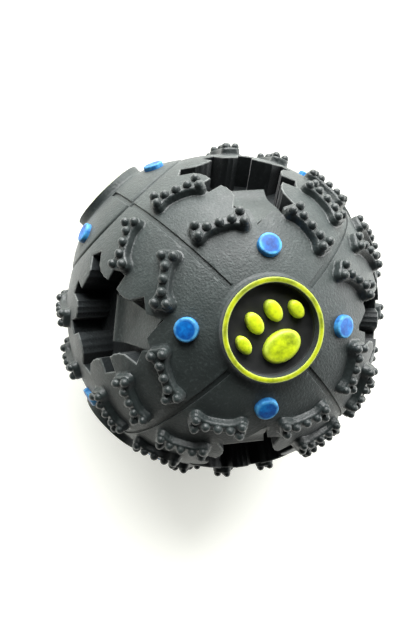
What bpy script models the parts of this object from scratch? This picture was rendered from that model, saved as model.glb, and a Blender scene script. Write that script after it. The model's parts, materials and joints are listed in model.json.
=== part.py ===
"""Squeaky dog ball: a moulded rubber ball with toothed pockets, bone treads and paw medallions.

The ball is centred on the origin and stands on the ring of its lower medallion.
Six medallions face the axes, eight toothed pockets face the corners between them.
The end cap faces +Y, and the sound unit lies along Y between the cap and the far wall.
"""

import math

import bmesh
import bpy
from mathutils import Matrix, Vector

MM = 0.001

# Fits
FIT_GAP = 0.3 * MM
RUNNING_GAP = 0.4 * MM

# How meshes are made: how far joined blanks sink in, and how far cutters reach past
ROOT_SINK = 1.5 * MM
CUT_MARGIN = 3.0 * MM
MERGE_DISTANCE = 0.0001 * MM
SHARP_ANGLE = math.radians(30)

# Ball shell
BALL_RADIUS = 46.5 * MM
SHELL_WALL = 15.5 * MM
BALL_SUBDIVISIONS = 4
CAVITY_SUBDIVISIONS = 3
FACET_TURN = math.radians(7)

# Medallions: a lip with a coloured ring on it and a disc with the paw inside it
LIP_RADIUS = 11.4 * MM
LIP_BAND = 1.4 * MM
LIP_HEIGHT = 0.92 * MM
LIP_ROOT = 7.0 * MM
RING_THICKNESS = 1.2 * MM
DISC_THICKNESS = 2.0 * MM
DISC_DROP = 1.0 * MM
MEDALLION_SEGMENTS = 20

# Paw print, measured from the middle of its disc
PAW_TWIST = math.radians(12)
PAD_HEIGHT = 1.8 * MM
PAD_EDGE = 0.5 * MM
PAD_SEGMENTS = 8
MAIN_PAD_WIDTH = 9.0 * MM
MAIN_PAD_LENGTH = 6.6 * MM
MAIN_PAD_BACK = 4.4 * MM
INNER_TOE_WIDTH = 3.4 * MM
INNER_TOE_LENGTH = 5.2 * MM
INNER_TOE_SIDE = 2.45 * MM
INNER_TOE_FORWARD = 3.2 * MM
OUTER_TOE_WIDTH = 2.9 * MM
OUTER_TOE_LENGTH = 4.4 * MM
OUTER_TOE_SIDE = 6.9 * MM
OUTER_TOE_FORWARD = 0.6 * MM

# Blue studs round each medallion
STUD_RADIUS = 2.65 * MM
STUD_HEIGHT = 1.1 * MM
STUD_EDGE = 0.5 * MM
STUD_TILT = math.radians(22.5)
STUD_SEGMENTS = 8
STUDS_PER_MEDALLION = 4

# Bone treads in rows across each edge between two medallions
BONE_LENGTH = 14.0 * MM
BONE_HEAD_WIDTH = 5.6 * MM
BONE_WAIST_WIDTH = 2.9 * MM
BONE_HEAD_LENGTH = 3.6 * MM
BONE_NECK = 1.2 * MM
BONE_END_CORNER = 0.6 * MM
BONE_HEIGHT = 2.4 * MM
BONE_OFFSET = 8.2 * MM
BONE_ROWS = 3
BONE_ROW_STEP = math.radians(15.5)
BONE_SLANT = math.radians(30)
BONE_SLANT_RIGHT = math.radians(16)

# Toothed pockets, each with a long tongue in place of one tooth
POCKET_DEPTH = 11.0 * MM
POCKET_TEETH = 8
POCKET_ROOT = 14.4 * MM
POCKET_TIP = 10.8 * MM
POCKET_LOBES = 3
POCKET_LOBE = 1.6 * MM
POCKET_NOTCH = 3.7 * MM
POCKET_TOWARD_POLE = 1.03
POCKET_TOWARD_CAP = 0.94
POCKET_TWIST = math.radians(7.5)
TONGUE_END_WIDTH = 11.8 * MM
TONGUE_END = -0.4 * MM
TONGUE_RIM = 16.0 * MM
TONGUE_DROP = 0.9 * MM
TONGUE_SLOPE = math.radians(6.5)

# Bones beside the end cap lean towards it by this angle
CAP_LEAN = math.radians(2.2)

# End cap and its seat. The cap's medallion stands out further than the others by the rise
CAP_RADIUS = 22.4 * MM
CAP_RISE = 1.5 * MM
CAP_RIM = 3.4 * MM
CAP_SKIRT_RADIUS = 17.2 * MM
CAP_SKIRT_DEPTH = 10.0 * MM
CAP_PLATE = 4.0 * MM
CAP_SHOULDER_DEPTH = 6.6 * MM
CAP_SHOULDER_WIDTH = 1.2 * MM
CAP_ARC_STEPS = 3
CAP_SEGMENTS = 20

# Sound unit
TUBE_RADIUS = 13.0 * MM
TUBE_WALL = 1.2 * MM
TUBE_END_FLANGE = 1.5 * MM
TUBE_END_SPIGOT = 4.0 * MM
TUBE_END_WALL = 1.5 * MM
VENT_RADIUS = 2.2 * MM
SOCKET_WALL = 2.6 * MM
SOCKET_DEPTH = 5.0 * MM
SOCKET_BASE_WALL = 8.85 * MM
UNIT_SEGMENTS = 16

# Reed carriage, which slides in the tube, and what it carries
FLANGE_THICKNESS = 2.0 * MM
WIPER_LENGTH = 3.4 * MM
WIPER_DEPTH = 2.0 * MM
WEIGHT_LENGTH = 5.0 * MM
WEIGHT_INSET = 0.7 * MM
SPIGOT_RADIUS = 6.5 * MM
SPIGOT_LIP = 0.8 * MM
AIR_DUCT_RADIUS = 2.0 * MM
REED_SEAT_WIDTH = 8.0 * MM
REED_SEAT_HEIGHT = 3.0 * MM
REED_SEAT_LENGTH = 13.0 * MM
REED_SLOT_WIDTH = 3.4 * MM
REED_SLOT_END = 1.4 * MM
REED_WIDTH = 5.4 * MM
REED_THICKNESS = 0.5 * MM
REED_TIP_GAP = 1.0 * MM
CLIP_LENGTH = 3.0 * MM
CLIP_THICKNESS = 1.6 * MM
CARRIAGE_START_GAP = 0.3 * MM

# Worked out from the sizes above
CAVITY_RADIUS = BALL_RADIUS - SHELL_WALL
RECESS_RADIUS = LIP_RADIUS - LIP_BAND
LIP_TOP = math.sqrt(BALL_RADIUS**2 - LIP_RADIUS**2) + LIP_HEIGHT
DISC_TOP = LIP_TOP - DISC_DROP
DISC_BOTTOM = DISC_TOP - DISC_THICKNESS
RECESS_FLOOR = DISC_BOTTOM - FIT_GAP
CAP_RIM_TOP = math.sqrt(BALL_RADIUS**2 - CAP_RADIUS**2)
CAP_RIM_BOTTOM = CAP_RIM_TOP - CAP_RIM
CAP_LIP_FOOT = LIP_TOP - LIP_HEIGHT + CAP_RISE
CAP_DOME_MIDDLE = (CAP_LIP_FOOT**2 + LIP_RADIUS**2 - BALL_RADIUS**2) / (2 * (CAP_LIP_FOOT - CAP_RIM_TOP))
CAP_DOME_RADIUS = math.hypot(CAP_RADIUS, CAP_RIM_TOP - CAP_DOME_MIDDLE)
CAP_SKIRT_END = CAP_RIM_BOTTOM - CAP_SKIRT_DEPTH
CAP_SHOULDER = CAP_RIM_BOTTOM - CAP_SHOULDER_DEPTH
UNIT_FRONT = CAP_SHOULDER - FIT_GAP
SOCKET_FLOOR = SOCKET_BASE_WALL - RECESS_FLOOR
UNIT_REAR = SOCKET_FLOOR + FIT_GAP
SOCKET_RADIUS = TUBE_RADIUS + FIT_GAP
TUBE_FRONT = UNIT_FRONT - TUBE_END_FLANGE - FIT_GAP
TUBE_REAR = UNIT_REAR + TUBE_END_FLANGE + FIT_GAP
BORE_RADIUS = TUBE_RADIUS - TUBE_WALL
CARRIAGE_RADIUS = BORE_RADIUS - RUNNING_GAP
CARRIAGE_REAR = TUBE_REAR + TUBE_END_SPIGOT + CARRIAGE_START_GAP
WIPER_REAR = CARRIAGE_REAR + FLANGE_THICKNESS
WIPER_FRONT = WIPER_REAR + WIPER_LENGTH + 2 * FIT_GAP
WEIGHT_REAR = WIPER_FRONT + FLANGE_THICKNESS
SPIGOT_FRONT = WEIGHT_REAR + WEIGHT_LENGTH + 2 * FIT_GAP + SPIGOT_LIP
REED_SEAT_FRONT = SPIGOT_FRONT + REED_SEAT_LENGTH
REED_BOTTOM = REED_SEAT_HEIGHT / 2 + FIT_GAP
CLIP_BOTTOM = REED_BOTTOM + REED_THICKNESS + FIT_GAP
REED_ROOT = SPIGOT_FRONT + FIT_GAP

X_AXIS = Vector((1, 0, 0))
Y_AXIS = Vector((0, 1, 0))
Z_AXIS = Vector((0, 0, 1))
CAP_AXIS = Y_AXIS

# Each medallion's outward direction, and the way its paw points before the twist.
# Bones between two medallions open towards the one that comes first here.
MEDALLIONS = {
    "right": (X_AXIS, Z_AXIS),
    "top": (Z_AXIS, Y_AXIS),
    "bottom": (-Z_AXIS, Y_AXIS),
    "left": (-X_AXIS, Z_AXIS),
    "back": (Y_AXIS, Z_AXIS),
    "front": (-Y_AXIS, Z_AXIS),
}
CAP_MEDALLION = "back"


def clear_scene():
    for old in list(bpy.data.objects):
        bpy.data.objects.remove(old, do_unlink=True)


def make_material(name, colour, roughness, metallic=0.0):
    material = bpy.data.materials.new(name)
    material.use_nodes = True
    shader = material.node_tree.nodes["Principled BSDF"]
    shader.inputs["Base Color"].default_value = (*colour, 1)
    shader.inputs["Roughness"].default_value = roughness
    shader.inputs["Metallic"].default_value = metallic
    return material


def frame_towards(outward, forward):
    """A matrix whose local Z looks outward and whose local Y lies along forward."""
    z = outward.normalized()
    y = (forward - forward.project(z)).normalized()
    x = y.cross(z)
    return Matrix((x, y, z)).transposed().to_4x4()


def raised(height):
    return Matrix.Translation((0, 0, height))


def surface_height(radius):
    """How far out the ball's surface lies, at this distance from a feature's own axis."""
    return math.sqrt(BALL_RADIUS**2 - radius**2)


def make_mesh(name, bm, material=None):
    """Turn a bmesh into a mesh with its faces pointing out."""
    bmesh.ops.remove_doubles(bm, verts=bm.verts, dist=MERGE_DISTANCE)
    bmesh.ops.recalc_face_normals(bm, faces=bm.faces)
    mesh = bpy.data.meshes.new(name)
    bm.to_mesh(mesh)
    bm.free()
    mesh.shade_smooth()
    mesh.set_sharp_from_angle(angle=SHARP_ANGLE)
    if material:
        mesh.materials.append(material)
    return mesh


def add_object(name, mesh=None, matrix=Matrix(), parent=None):
    """Place a mesh, or an empty where there is none, by a matrix in its parent's frame."""
    made = bpy.data.objects.new(name, mesh)
    bpy.context.scene.collection.objects.link(made)
    made.parent = parent
    made.matrix_local = matrix
    return made


def cut(target, cutter, operation):
    """Join or subtract a hidden helper object with a Boolean modifier."""
    cutter.hide_render = True
    cutter.display_type = "WIRE"
    boolean = target.modifiers.new(cutter.name, "BOOLEAN")
    boolean.object = cutter
    boolean.operation = operation
    boolean.solver = "EXACT"


def add_lathe(bm, profile, segments, matrix=Matrix()):
    """Spin a profile of (radius, height) points, from its top to its bottom, round local Z."""
    verts = [bm.verts.new(matrix @ Vector((radius, 0, height))) for radius, height in profile]
    edges = [bm.edges.new(pair) for pair in zip(verts, verts[1:])]
    bmesh.ops.spin(
        bm,
        geom=verts + edges,
        axis=matrix.to_3x3() @ Z_AXIS,
        cent=matrix.translation,
        angle=2 * math.pi,
        steps=segments,
        use_merge=True,
    )


def add_prism(bm, outline, bottom, top, matrix=Matrix()):
    """Extrude a flat outline between two heights along local Z."""
    low = [bm.verts.new(matrix @ Vector((x, y, bottom))) for x, y in outline]
    high = [bm.verts.new(matrix @ Vector((x, y, top))) for x, y in outline]
    caps = [bm.faces.new(low[::-1]), bm.faces.new(high)]
    count = len(outline)
    for i in range(count):
        bm.faces.new((low[i], low[(i + 1) % count], high[(i + 1) % count], high[i]))
    bmesh.ops.triangulate(bm, faces=caps)


def box_mesh(name, low, high, material=None):
    """A box between two opposite corners."""
    bm = bmesh.new()
    outline = [(low[0], low[1]), (high[0], low[1]), (high[0], high[1]), (low[0], high[1])]
    add_prism(bm, outline, low[2], high[2])
    return make_mesh(name, bm, material)


def lathe_mesh(name, profile, segments, material=None):
    bm = bmesh.new()
    add_lathe(bm, profile, segments)
    return make_mesh(name, bm, material)


def ball_mesh(name, radius, subdivisions, material=None):
    bm = bmesh.new()
    turn = Matrix.Rotation(FACET_TURN, 4, X_AXIS)
    bmesh.ops.create_icosphere(bm, subdivisions=subdivisions, radius=radius, matrix=turn)
    return make_mesh(name, bm, material)


def medallion_frame(name):
    outward, forward = MEDALLIONS[name]
    return frame_towards(outward, forward)


def medallion_seat(name):
    """A medallion's frame, moved out with the end cap where the cap carries it."""
    rise = CAP_RISE if name == CAP_MEDALLION else 0
    return medallion_frame(name) @ raised(rise)


def medallion_edges():
    """The pairs of neighbouring medallions, whose great circle carries a groove and its treads."""
    names = list(MEDALLIONS)
    for i, first in enumerate(names):
        for second in names[i + 1:]:
            if MEDALLIONS[first][0].dot(MEDALLIONS[second][0]) == 0:
                yield first, second


def pocket_frames():
    """One frame for each corner between three medallions, with local Y along the tongue.

    The tongues come in from the top and bottom medallions, twisted like mirror images.
    """
    for x in (-1, 1):
        for y in (-1, 1):
            for z in (-1, 1):
                narrow = POCKET_TOWARD_CAP if y > 0 else 1
                outward = Vector((x * narrow, y, z * POCKET_TOWARD_POLE))
                twist = Matrix.Rotation(x * y * z * POCKET_TWIST, 4, "Z")
                yield frame_towards(outward, Z_AXIS * z) @ twist


def bone_frames():
    """One frame for each bone: local Z outward, local X along the bone.

    The two bones of a row lean into a chevron that opens towards the edge's first medallion.
    """
    tilt = BONE_OFFSET / BALL_RADIUS
    for first, second in medallion_edges():
        start = MEDALLIONS[first][0]
        end = MEDALLIONS[second][0]
        side = start.cross(end)
        slant = BONE_SLANT_RIGHT if first == "right" else BONE_SLANT
        for row in range(BONE_ROWS):
            angle = math.pi / 4 + (row - (BONE_ROWS - 1) / 2) * BONE_ROW_STEP
            on_groove = start * math.cos(angle) + end * math.sin(angle)
            if on_groove.angle(CAP_AXIS) < math.pi / 4 - BONE_ROW_STEP / 2:
                continue
            if second == CAP_MEDALLION and row == BONE_ROWS // 2:
                angle += CAP_LEAN
                on_groove = start * math.cos(angle) + end * math.sin(angle)
            for sign in (-1, 1):
                outward = on_groove * math.cos(tilt) + side * (sign * math.sin(tilt))
                lean = Matrix.Rotation(sign * slant, 4, "Z")
                yield frame_towards(outward, start.cross(side)) @ lean


def bone_stations():
    """Half widths along a bone, from one end to the other."""
    half = BONE_LENGTH / 2
    head = BONE_HEAD_WIDTH / 2
    waist = BONE_WAIST_WIDTH / 2
    neck = half - BONE_HEAD_LENGTH
    right = [(neck, waist), (neck + BONE_NECK, head), (half, head - BONE_END_CORNER)]
    return [(-x, width) for x, width in reversed(right)] + right


def add_loft(bm, rows):
    """A closed body through rows of four corners: low and high on one side, then the other."""
    rows = [[bm.verts.new(corner) for corner in row] for row in rows]
    faces = []
    for (a, b, c, d), (e, f, g, h) in zip(rows, rows[1:]):
        faces += [(b, d, h, f), (a, e, g, c), (a, b, f, e), (c, g, h, d)]
    first, last = rows[0], rows[-1]
    faces.append((first[0], first[2], first[3], first[1]))
    faces.append((last[0], last[1], last[3], last[2]))
    made = [bm.faces.new(face) for face in faces]
    bmesh.ops.triangulate(bm, faces=made)


def add_bone(bm, frame):
    """A bone block that follows the ball's curve."""
    rows = []
    for x, width in bone_stations():
        row = []
        for side in (-width, width):
            outward = frame.to_3x3() @ Vector((x, side, BALL_RADIUS)).normalized()
            row += [outward * (BALL_RADIUS - ROOT_SINK), outward * (BALL_RADIUS + BONE_HEIGHT)]
        rows.append(row)
    add_loft(bm, rows)


def notch_corners(number):
    """A notch's corners in plan: inner and outer on its near side, then outer and inner beyond."""
    angle = (number + 0.5) * 2 * math.pi / POCKET_TEETH
    lobe = POCKET_LOBE * math.cos(POCKET_LOBES * angle)
    along = Vector((-math.sin(angle), math.cos(angle)))
    across = Vector((-math.cos(angle), -math.sin(angle))) * (POCKET_NOTCH / 2)
    inner = along * (POCKET_TIP + lobe)
    outer = along * (POCKET_ROOT + lobe)
    return [inner - across, outer - across, outer + across, inner + across]


def pocket_outline():
    """The gear-shaped mouth in plan. Its first tooth is the tongue, which has its own end."""
    half = TONGUE_END_WIDTH / 2
    points = [Vector((half, TONGUE_END)), Vector((-half, TONGUE_END))]
    for number in range(POCKET_TEETH):
        corners = notch_corners(number)
        if number == 0:
            corners = corners[1:]
        if number == POCKET_TEETH - 1:
            corners = corners[:-1]
        points += corners
    return [tuple(point) for point in points]


def add_tongue_cut(bm, frame):
    """The space above a tongue, whose top runs down into the pocket from a small step."""
    root = notch_corners(0)[1]
    end_half = TONGUE_END_WIDTH / 2 + FIT_GAP
    root_half = -root.x + FIT_GAP / 2
    stations = [(TONGUE_END - CUT_MARGIN, end_half), (TONGUE_RIM, root_half)]
    rows = []
    for y, half in stations:
        fall = (TONGUE_RIM - y) * math.tan(TONGUE_SLOPE)
        low = surface_height(TONGUE_RIM) - TONGUE_DROP - fall
        high = BALL_RADIUS + CUT_MARGIN
        row = []
        for side in (half, -half):
            row += [frame @ Vector((side, y, low)), frame @ Vector((side, y, high))]
        rows.append(row)
    add_loft(bm, rows)


def cap_profile():
    """The end cap's section, from the middle of its recess out over the dome and under.

    The dome is an arc from the foot of the raised lip to the ball's surface at the rim.
    """
    start = math.asin(LIP_RADIUS / CAP_DOME_RADIUS)
    end = math.asin(CAP_RADIUS / CAP_DOME_RADIUS)
    angles = [start + (end - start) * i / CAP_ARC_STEPS for i in range(CAP_ARC_STEPS + 1)]
    dome = [
        (CAP_DOME_RADIUS * math.sin(a), CAP_DOME_MIDDLE + CAP_DOME_RADIUS * math.cos(a))
        for a in angles
    ]
    recess_floor = RECESS_FLOOR + CAP_RISE
    lip_top = LIP_TOP + CAP_RISE
    shoulder_radius = SOCKET_RADIUS - CAP_SHOULDER_WIDTH - FIT_GAP
    return [
        (0, recess_floor),
        (RECESS_RADIUS, recess_floor),
        (RECESS_RADIUS, lip_top),
        (LIP_RADIUS, lip_top),
        *dome,
        (CAP_RADIUS, CAP_RIM_BOTTOM),
        (CAP_SKIRT_RADIUS, CAP_RIM_BOTTOM),
        (CAP_SKIRT_RADIUS, CAP_SKIRT_END),
        (SOCKET_RADIUS, CAP_SKIRT_END),
        (SOCKET_RADIUS, CAP_SHOULDER),
        (shoulder_radius, CAP_SHOULDER),
        (shoulder_radius, recess_floor - CAP_PLATE),
        (0, recess_floor - CAP_PLATE),
    ]


def cap_seat_profile():
    """The stepped hole in the shell that takes the end cap."""
    return [
        (0, BALL_RADIUS + CUT_MARGIN),
        (CAP_RADIUS + FIT_GAP, BALL_RADIUS + CUT_MARGIN),
        (CAP_RADIUS + FIT_GAP, CAP_RIM_BOTTOM - FIT_GAP),
        (CAP_SKIRT_RADIUS + FIT_GAP, CAP_RIM_BOTTOM - FIT_GAP),
        (CAP_SKIRT_RADIUS + FIT_GAP, CAP_SKIRT_END - CUT_MARGIN),
        (0, CAP_SKIRT_END - CUT_MARGIN),
    ]


def disc_profile(radius, top, bottom):
    return [(0, top), (radius, top), (radius, bottom), (0, bottom)]


def ring_profile(outer, inner, top, bottom):
    return [(inner, top), (outer, top), (outer, bottom), (inner, bottom), (inner, top)]


def make_shell(ball, material):
    """The rubber ball: blanks are joined on first, then everything hollow is cut."""
    sphere = ball_mesh("ball_shell", BALL_RADIUS, BALL_SUBDIVISIONS, material)
    shell = add_object("ball_shell", sphere, parent=ball)
    on_shell = [name for name in MEDALLIONS if name != CAP_MEDALLION]

    lips = bmesh.new()
    recesses = bmesh.new()
    lip_blank = disc_profile(LIP_RADIUS, LIP_TOP, RECESS_FLOOR - LIP_ROOT)
    recess = disc_profile(RECESS_RADIUS, LIP_TOP + CUT_MARGIN, RECESS_FLOOR)
    for name in on_shell:
        add_lathe(lips, lip_blank, MEDALLION_SEGMENTS, medallion_frame(name))
        add_lathe(recesses, recess, MEDALLION_SEGMENTS, medallion_frame(name))

    bones = bmesh.new()
    for frame in bone_frames():
        add_bone(bones, frame)

    pockets = bmesh.new()
    tongues = bmesh.new()
    for frame in pocket_frames():
        floor = BALL_RADIUS - POCKET_DEPTH
        add_prism(pockets, pocket_outline(), floor, BALL_RADIUS + CUT_MARGIN, frame)
        add_tongue_cut(tongues, frame)

    cut(shell, add_object("lip_blanks", make_mesh("lip_blanks", lips)), "UNION")
    cut(shell, add_object("bone_treads", make_mesh("bone_treads", bones)), "UNION")
    cut(shell, add_object("pocket_cutters", make_mesh("pocket_cutters", pockets)), "DIFFERENCE")
    cut(shell, add_object("tongue_cutters", make_mesh("tongue_cutters", tongues)), "DIFFERENCE")

    along_cap = frame_towards(CAP_AXIS, Z_AXIS)
    cavity = ball_mesh("cavity", CAVITY_RADIUS, CAVITY_SUBDIVISIONS)
    boss_root = -(BALL_RADIUS + CAVITY_RADIUS) / 2
    boss = disc_profile(SOCKET_RADIUS + SOCKET_WALL, UNIT_REAR + SOCKET_DEPTH, boss_root)
    bore = disc_profile(SOCKET_RADIUS, UNIT_REAR + SOCKET_DEPTH + CUT_MARGIN, SOCKET_FLOOR)
    boss_mesh = lathe_mesh("socket_boss", boss, UNIT_SEGMENTS)
    bore_mesh = lathe_mesh("socket_bore", bore, UNIT_SEGMENTS)
    seat_mesh = lathe_mesh("cap_seat", cap_seat_profile(), CAP_SEGMENTS)
    cut(shell, add_object("cavity", cavity), "DIFFERENCE")
    cut(shell, add_object("socket_boss", boss_mesh, along_cap), "UNION")
    cut(shell, add_object("socket_bore", bore_mesh, along_cap), "DIFFERENCE")
    cut(shell, add_object("cap_seat", seat_mesh, along_cap), "DIFFERENCE")
    cut(shell, add_object("recess_cutters", make_mesh("recess_cutters", recesses)), "DIFFERENCE")


def make_cap(ball, material):
    mesh = lathe_mesh("end_cap", cap_profile(), CAP_SEGMENTS, material)
    add_object("end_cap", mesh, medallion_frame(CAP_MEDALLION), ball)


def make_rings(ball, material):
    """The coloured band on each medallion's lip."""
    profile = ring_profile(LIP_RADIUS, RECESS_RADIUS, RING_THICKNESS, 0)
    mesh = lathe_mesh("ring", profile, MEDALLION_SEGMENTS, material)
    for name in MEDALLIONS:
        add_object(f"{name}_ring", mesh, medallion_seat(name) @ raised(LIP_TOP + FIT_GAP), ball)


def paw_pads():
    """Each pad's middle and size, with the paw pointing along local Y."""
    pads = [(0, -MAIN_PAD_BACK, MAIN_PAD_WIDTH, MAIN_PAD_LENGTH)]
    for side in (-1, 1):
        pads.append((side * INNER_TOE_SIDE, INNER_TOE_FORWARD, INNER_TOE_WIDTH, INNER_TOE_LENGTH))
        pads.append((side * OUTER_TOE_SIDE, OUTER_TOE_FORWARD, OUTER_TOE_WIDTH, OUTER_TOE_LENGTH))
    return pads


def add_pad(bm, x, y, width, length):
    """One oval pad with a bevelled top edge, standing in its disc."""
    rings = []
    for height, inset in (
        (-DISC_THICKNESS / 2, 0),
        (PAD_HEIGHT - PAD_EDGE, 0),
        (PAD_HEIGHT, PAD_EDGE),
    ):
        ring = []
        for i in range(PAD_SEGMENTS):
            angle = 2 * math.pi * i / PAD_SEGMENTS
            at_x = x + (width / 2 - inset) * math.cos(angle)
            at_y = y + (length / 2 - inset) * math.sin(angle)
            ring.append(bm.verts.new((at_x, at_y, height)))
        rings.append(ring)
    bm.faces.new(rings[0][::-1])
    bm.faces.new(rings[-1])
    for low, high in zip(rings, rings[1:]):
        for i in range(PAD_SEGMENTS):
            j = (i + 1) % PAD_SEGMENTS
            bm.faces.new((low[i], low[j], high[j], high[i]))


def make_paw_discs(ball, material):
    """The disc inside each medallion's lip, with the raised paw on it."""
    profile = disc_profile(RECESS_RADIUS - FIT_GAP, 0, -DISC_THICKNESS)
    disc_mesh = lathe_mesh("paw_disc", profile, MEDALLION_SEGMENTS, material)
    pads = bmesh.new()
    for x, y, width, length in paw_pads():
        add_pad(pads, x, y, width, length)
    pads_mesh = make_mesh("paw_pads", pads)
    twist = Matrix.Rotation(-PAW_TWIST, 4, "Z")
    for name in MEDALLIONS:
        frame = medallion_seat(name) @ twist @ raised(DISC_TOP)
        disc = add_object(f"{name}_paw_disc", disc_mesh, frame, ball)
        cut(disc, add_object(f"{name}_paw_pads", pads_mesh, frame), "UNION")


def make_studs(ball, material):
    """The buttons round each medallion, each towards one of the pockets beside it.

    The cap's own buttons stand on its dome, as far from its middle as the others.
    """
    profile = [
        (0, STUD_HEIGHT),
        (STUD_RADIUS - STUD_EDGE, STUD_HEIGHT),
        (STUD_RADIUS, STUD_HEIGHT - STUD_EDGE),
        (STUD_RADIUS, 0),
        (0, 0),
    ]
    mesh = lathe_mesh("stud", profile, STUD_SEGMENTS, material)
    step = 2 * math.pi / STUDS_PER_MEDALLION
    on_ball = Matrix.Rotation(STUD_TILT, 4, "Y") @ raised(BALL_RADIUS + FIT_GAP)
    cap_tilt = math.asin(BALL_RADIUS * math.sin(STUD_TILT) / CAP_DOME_RADIUS)
    on_dome = Matrix.Rotation(cap_tilt, 4, "Y") @ raised(CAP_DOME_RADIUS + FIT_GAP)
    for name in MEDALLIONS:
        seat = raised(CAP_DOME_MIDDLE) @ on_dome if name == CAP_MEDALLION else on_ball
        for i in range(STUDS_PER_MEDALLION):
            turn = Matrix.Rotation((i + 1 / 2) * step, 4, "Z")
            add_object(f"{name}_stud_{i + 1}", mesh, medallion_frame(name) @ turn @ seat, ball)


def make_tube(ball, plastic):
    """The sound unit's tube and its two vented ends."""
    frame = frame_towards(CAP_AXIS, Z_AXIS)
    tube = ring_profile(TUBE_RADIUS, BORE_RADIUS, TUBE_FRONT, TUBE_REAR)
    add_object("sound_tube", lathe_mesh("sound_tube", tube, UNIT_SEGMENTS, plastic), frame, ball)
    spigot_outer = BORE_RADIUS - FIT_GAP
    spigot_inner = spigot_outer - TUBE_END_WALL
    end = [
        (VENT_RADIUS, TUBE_END_FLANGE),
        (TUBE_RADIUS, TUBE_END_FLANGE),
        (TUBE_RADIUS, 0),
        (spigot_outer, 0),
        (spigot_outer, -TUBE_END_SPIGOT),
        (spigot_inner, -TUBE_END_SPIGOT),
        (spigot_inner, 0),
        (VENT_RADIUS, 0),
        (VENT_RADIUS, TUBE_END_FLANGE),
    ]
    mesh = lathe_mesh("tube_end", end, UNIT_SEGMENTS, plastic)
    turned = Matrix.Rotation(math.pi, 4, "X")
    add_object("tube_front_end", mesh, frame @ raised(UNIT_FRONT - TUBE_END_FLANGE), ball)
    add_object("tube_rear_end", mesh, frame @ raised(UNIT_REAR + TUBE_END_FLANGE) @ turned, ball)


def make_carriage(axis, plastic, felt, steel):
    """The sliding carriage with its wiper and weight. The axis empty's local Z is the slide."""
    groove = CARRIAGE_RADIUS - WIPER_DEPTH
    spool = [
        (AIR_DUCT_RADIUS, SPIGOT_FRONT),
        (SPIGOT_RADIUS, SPIGOT_FRONT),
        (SPIGOT_RADIUS, WEIGHT_REAR),
        (CARRIAGE_RADIUS, WEIGHT_REAR),
        (CARRIAGE_RADIUS, WIPER_FRONT),
        (groove, WIPER_FRONT),
        (groove, WIPER_REAR),
        (CARRIAGE_RADIUS, WIPER_REAR),
        (CARRIAGE_RADIUS, CARRIAGE_REAR),
        (AIR_DUCT_RADIUS, CARRIAGE_REAR),
        (AIR_DUCT_RADIUS, SPIGOT_FRONT),
    ]
    spool_mesh = lathe_mesh("reed_carriage", spool, UNIT_SEGMENTS, plastic)
    carriage = add_object("reed_carriage", spool_mesh, parent=axis)
    half_seat = REED_SEAT_WIDTH / 2
    half_height = REED_SEAT_HEIGHT / 2
    half_slot = REED_SLOT_WIDTH / 2
    low = (-half_seat, -half_height - REED_SEAT_HEIGHT, SPIGOT_FRONT - SPIGOT_LIP)
    high = (half_seat, half_height, REED_SEAT_FRONT)
    cut(carriage, add_object("reed_seat", box_mesh("reed_seat", low, high), parent=axis), "UNION")
    low = (-half_slot, -half_height, SPIGOT_FRONT - 2 * SPIGOT_LIP)
    high = (half_slot, half_height + FIT_GAP, REED_SEAT_FRONT - REED_SLOT_END)
    slot = add_object("reed_slot", box_mesh("reed_slot", low, high), parent=axis)
    cut(carriage, slot, "DIFFERENCE")

    wiper_outer = BORE_RADIUS - FIT_GAP
    wiper_rear = WIPER_REAR + FIT_GAP
    wiper = ring_profile(wiper_outer, groove + FIT_GAP, wiper_rear + WIPER_LENGTH, wiper_rear)
    add_object("felt_wiper", lathe_mesh("felt_wiper", wiper, UNIT_SEGMENTS, felt), parent=axis)
    outer = CARRIAGE_RADIUS - WEIGHT_INSET
    inner = SPIGOT_RADIUS + FIT_GAP
    weight_rear = WEIGHT_REAR + FIT_GAP
    weight = ring_profile(outer, inner, weight_rear + WEIGHT_LENGTH, weight_rear)
    add_object("slide_weight", lathe_mesh("slide_weight", weight, UNIT_SEGMENTS, steel), parent=axis)


def make_reed(axis, plastic, film):
    """The reed, with its origin on the line it bends about, and the clip over its root."""
    half_reed = REED_WIDTH / 2
    half_thickness = REED_THICKNESS / 2
    bend = REED_ROOT + CLIP_LENGTH
    tip = REED_SEAT_FRONT - REED_TIP_GAP
    low = (-half_reed, -half_thickness, REED_ROOT - bend)
    high = (half_reed, half_thickness, tip - bend)
    at_bend = Matrix.Translation((0, REED_BOTTOM + half_thickness, bend))
    add_object("reed", box_mesh("reed", low, high, film), at_bend, axis)
    half_clip = REED_SEAT_WIDTH / 2
    low = (-half_clip, 0, 0)
    high = (half_clip, CLIP_THICKNESS, CLIP_LENGTH)
    at_clip = Matrix.Translation((0, CLIP_BOTTOM, REED_ROOT))
    add_object("reed_clip", box_mesh("reed_clip", low, high, plastic), at_clip, axis)


def main():
    clear_scene()
    rubber = make_material("charcoal_rubber", (0.032, 0.033, 0.034), 0.72)
    smooth_rubber = make_material("black_smooth_rubber", (0.012, 0.013, 0.013), 0.55)
    lime = make_material("lime_vinyl", (0.62, 0.72, 0.01), 0.5)
    blue = make_material("blue_vinyl", (0.02, 0.12, 0.55), 0.5)
    plastic = make_material("white_plastic", (0.75, 0.75, 0.72), 0.4)
    felt = make_material("grey_felt", (0.35, 0.35, 0.36), 0.95)
    steel = make_material("plated_steel", (0.55, 0.55, 0.56), 0.3, 1.0)
    film = make_material("amber_film", (0.65, 0.42, 0.12), 0.3)

    ball = add_object("ball")
    make_shell(ball, rubber)
    make_cap(ball, rubber)
    make_rings(ball, lime)
    make_paw_discs(ball, smooth_rubber)
    make_studs(ball, blue)
    make_tube(ball, plastic)
    slide_axis = add_object("slide_axis", matrix=frame_towards(CAP_AXIS, Z_AXIS), parent=ball)
    make_carriage(slide_axis, plastic, felt, steel)
    make_reed(slide_axis, plastic, film)


main()
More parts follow.
